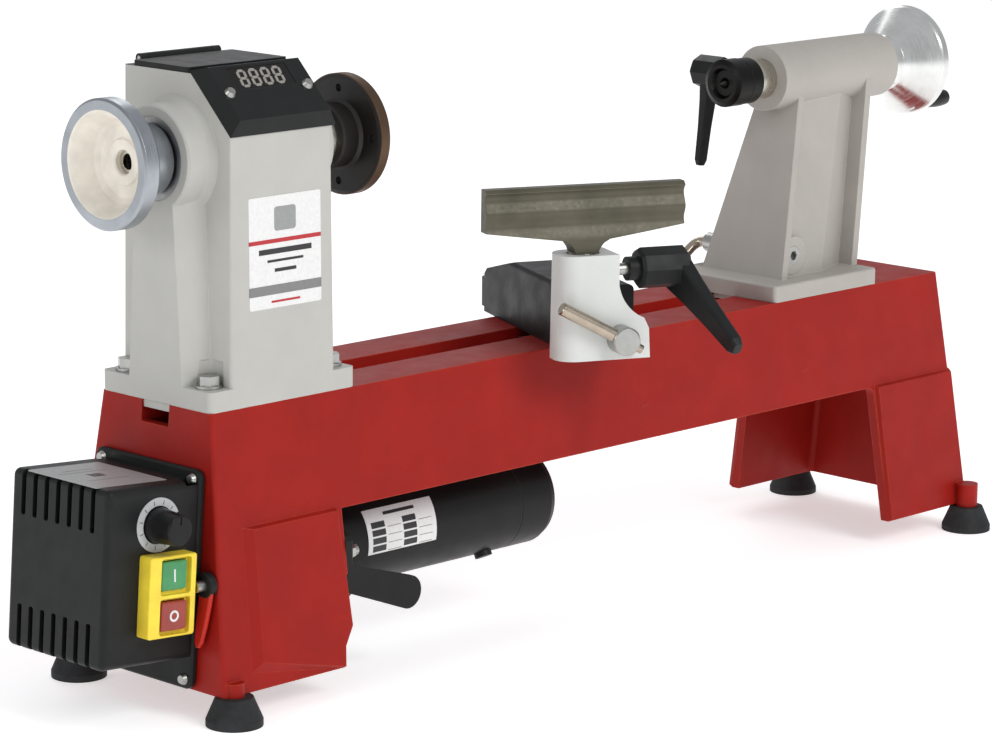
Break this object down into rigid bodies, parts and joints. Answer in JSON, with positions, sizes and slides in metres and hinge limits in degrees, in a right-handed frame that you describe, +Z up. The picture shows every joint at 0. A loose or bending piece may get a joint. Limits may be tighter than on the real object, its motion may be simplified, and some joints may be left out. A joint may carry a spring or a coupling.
{
  "type": "wood lathe",
  "caption": "Bench-top wood lathe with a belt-driven headstock, sliding tool rest and screw-fed tailstock on a cast bed with splayed legs.",
  "frame": {"origin": "on the bench, under the middle of the bed and straight under the spindle axis", "axes": "+X along the spindle from headstock to tailstock, -Y towards the operator, +Z up"},
  "size_m": [0.8581, 0.2837, 0.4022],
  "materials": {
    "red_paint": "satin enamel",
    "black_rubber": "matte",
    "belt_rubber": "matte, ribbed",
    "zinc_steel": "zinc plated",
    "nickel_steel": "nickel plated",
    "headstock_paint": "satin grey enamel on a casting",
    "tailstock_paint": "satin warm grey enamel on a casting",
    "banjo_paint": "satin light grey enamel on a casting",
    "readout_plastic": "fine texture",
    "display_plastic": "gloss",
    "bearing_steel": "ground",
    "shield_steel": "pressed",
    "ground_steel": "ground",
    "black_steel": "blackened",
    "pulley_aluminium": "turned",
    "wheel_steel": "turned",
    "faceplate_iron": "turned face, black back",
    "black_paint": "satin",
    "black_plastic": "fine texture",
    "knob_plastic": "semi-gloss",
    "red_lever": "gloss red",
    "board_green": "circuit board",
    "yellow_plastic": "semi-gloss",
    "green_plastic": "semi-gloss",
    "stop_plastic": "semi-gloss",
    "arm_iron": "black enamel on a casting",
    "clamp_iron": "as cast",
    "rest_iron": "olive brown, ground top edge",
    "polished_steel": "polished"
  },
  "bodies": {
    "frame": {"bed": "red_paint", "rubber_feet": "black_rubber", "frame_bolts": "zinc_steel", "headstock_casting": "headstock_paint", "belt_cover_hinge_pin": "zinc_steel", "readout_housing": "readout_plastic", "readout_window": "display_plastic", "bearing_outer_rings": "bearing_steel", "bearing_balls": "bearing_steel", "bearing_shields": "shield_steel", "drive_belt": "belt_rubber", "motor_pivot_bolt": "zinc_steel", "control_box_plate": "black_plastic", "control_box": "black_plastic", "cord_gland": "black_plastic", "cover_screws": "zinc_steel", "circuit_boards": "board_green", "switch_housing": "yellow_plastic"},
    "belt_cover": {"belt_cover": "black_plastic"},
    "spindle": {"spindle": "ground_steel", "bearing_inner_rings": "bearing_steel", "spindle_pulley": "pulley_aluminium", "outboard_handwheel": "wheel_steel", "spindle_set_screws": "zinc_steel", "faceplate": "faceplate_iron"},
    "motor": {"motor_plate": "black_paint", "motor_housing": "black_paint", "motor_end_cap": "black_paint", "motor_screws": "zinc_steel", "motor_brush_caps": "black_plastic"},
    "motor_rotor": {"motor_rotor": "ground_steel", "motor_pulley": "pulley_aluminium"},
    "tension_lever": {"tension_rod": "zinc_steel", "tension_hub": "black_plastic", "tension_lever": "red_lever"},
    "speed_knob": {"speed_knob": "knob_plastic"},
    "start_button": {"start_button": "green_plastic"},
    "stop_button": {"stop_button": "stop_plastic"},
    "banjo_slide": {"banjo_clamp_plate": "clamp_iron"},
    "banjo_pivot": {"banjo_eye_bolt": "zinc_steel"},
    "banjo": {"banjo_post": "banjo_paint", "banjo_arm": "arm_iron"},
    "banjo_cam": {"banjo_cam_shaft": "zinc_steel", "banjo_cam_handle": "nickel_steel"},
    "rest_stem": {"tool_rest_stem": "ground_steel"},
    "tool_rest": {"tool_rest": "rest_iron"},
    "rest_lock": {"tool_rest_lock_stud": "zinc_steel", "tool_rest_lock_lever": "black_plastic"},
    "tailstock": {"tailstock_body": "tailstock_paint", "tailstock_eye_bolt": "zinc_steel", "tailstock_clamp_plate": "clamp_iron"},
    "tail_cam": {"tailstock_cam_shaft": "zinc_steel", "tailstock_cam_handle": "nickel_steel"},
    "tail_screw": {"quill_screw": "zinc_steel", "tail_handwheel": "polished_steel"},
    "crank_handle": {"crank_handle": "knob_plastic"},
    "quill": {"quill": "ground_steel", "live_centre_shank": "black_steel"},
    "live_centre": {"live_centre_cup": "black_steel"},
    "quill_lock": {"quill_lock_lever": "black_plastic"}
  },
  "joints": [
    {"name": "spindle_spin", "type": "hinge", "parent": "frame", "child": "spindle", "pos_m": [-0.294, 0, 0.3439], "axis": [1, 0, 0], "continuous": true},
    {"name": "motor_tilt", "type": "hinge", "parent": "frame", "child": "motor", "pos_m": [-0.252, 0.05, 0.105], "axis": [1, 0, 0], "range_deg": [-6, 0], "deforming": ["drive_belt"]},
    {"name": "motor_spin", "type": "hinge", "parent": "motor", "child": "motor_rotor", "pos_m": [-0.252, 0, 0.079], "axis": [1, 0, 0], "continuous": true},
    {"name": "belt_cover_hinge", "type": "hinge", "parent": "frame", "child": "belt_cover", "pos_m": [-0.294, 0.0455, 0.3992], "axis": [1, 0, 0], "range_deg": [-105, 0]},
    {"name": "tension_lever_turn", "type": "hinge", "parent": "frame", "child": "tension_lever", "pos_m": [-0.366, -0.058, 0.087], "axis": [1, 0, 0], "range_deg": [-110, 0]},
    {"name": "speed_knob_turn", "type": "hinge", "parent": "frame", "child": "speed_knob", "pos_m": [-0.39544, -0.0485, 0.1284], "axis": [0, -1, 0], "range_deg": [-135, 135]},
    {"name": "start_button_push", "type": "slide", "parent": "frame", "child": "start_button", "axis": [0, 1, 0], "range_m": [0, 0.0025], "stiffness_N_per_m": 400},
    {"name": "stop_button_push", "type": "slide", "parent": "frame", "child": "stop_button", "axis": [0, 1, 0], "range_m": [0, 0.0025], "stiffness_N_per_m": 400},
    {"name": "banjo_travel", "type": "slide", "parent": "frame", "child": "banjo_slide", "axis": [1, 0, 0], "range_m": [-0.08, 0.11]},
    {"name": "banjo_swivel", "type": "hinge", "parent": "banjo_slide", "child": "banjo_pivot", "pos_m": [0.002, 0, 0.1915], "axis": [0, 0, 1], "range_deg": [-15, 45]},
    {"name": "banjo_reach", "type": "slide", "parent": "banjo_pivot", "child": "banjo", "axis": [0.4195, 0.9078, 0], "range_m": [-0.05, 0.05]},
    {"name": "banjo_cam_turn", "type": "hinge", "parent": "banjo", "child": "banjo_cam", "pos_m": [-0.04246, -0.09622, 0.2055], "axis": [0.4195, 0.9078, 0], "range_deg": [-30, 90]},
    {"name": "tool_rest_height", "type": "slide", "parent": "banjo", "child": "rest_stem", "axis": [0, 0, 1], "range_m": [0, 0.03]},
    {"name": "tool_rest_swivel", "type": "hinge", "parent": "rest_stem", "child": "tool_rest", "pos_m": [-0.06153, -0.08742, 0.2615], "axis": [0, 0, 1], "range_deg": [-40, 40]},
    {"name": "tool_rest_lock_turn", "type": "hinge", "parent": "banjo", "child": "rest_lock", "pos_m": [-0.03338, -0.10042, 0.249], "axis": [0.9078, -0.4195, 0], "range_deg": [-75, 0]},
    {"name": "tailstock_travel", "type": "slide", "parent": "frame", "child": "tailstock", "axis": [1, 0, 0], "range_m": [-0.1, 0.045]},
    {"name": "tailstock_cam_turn", "type": "hinge", "parent": "tailstock", "child": "tail_cam", "pos_m": [0.22, 0.062, 0.2185], "axis": [0, 1, 0], "range_deg": [-20, 100]},
    {"name": "tail_handwheel_turn", "type": "hinge", "parent": "tailstock", "child": "tail_screw", "pos_m": [0.36, 0, 0.3439], "axis": [-1, 0, 0], "range_deg": [0, 4500]},
    {"name": "quill_feed", "type": "slide", "parent": "tailstock", "child": "quill", "axis": [-1, 0, 0], "range_m": [0, 0.0501]},
    {"name": "crank_handle_spin", "type": "hinge", "parent": "tail_screw", "child": "crank_handle", "pos_m": [0.4, -0.012, 0.3139], "axis": [1, 0, 0], "continuous": true},
    {"name": "live_centre_spin", "type": "hinge", "parent": "quill", "child": "live_centre", "pos_m": [0.19, 0, 0.3439], "axis": [1, 0, 0], "continuous": true},
    {"name": "quill_lock_turn", "type": "hinge", "parent": "tailstock", "child": "quill_lock", "pos_m": [0.226, 0.05, 0.3429], "axis": [0, 1, 0], "range_deg": [-40, 40]}
  ],
  "couplings": [
    {"joint": "motor_spin", "follows": "spindle_spin", "ratio": 1.0707},
    {"joint": "quill_feed", "follows": "tail_handwheel_turn", "m_per_rad": 0.00063662}
  ]
}
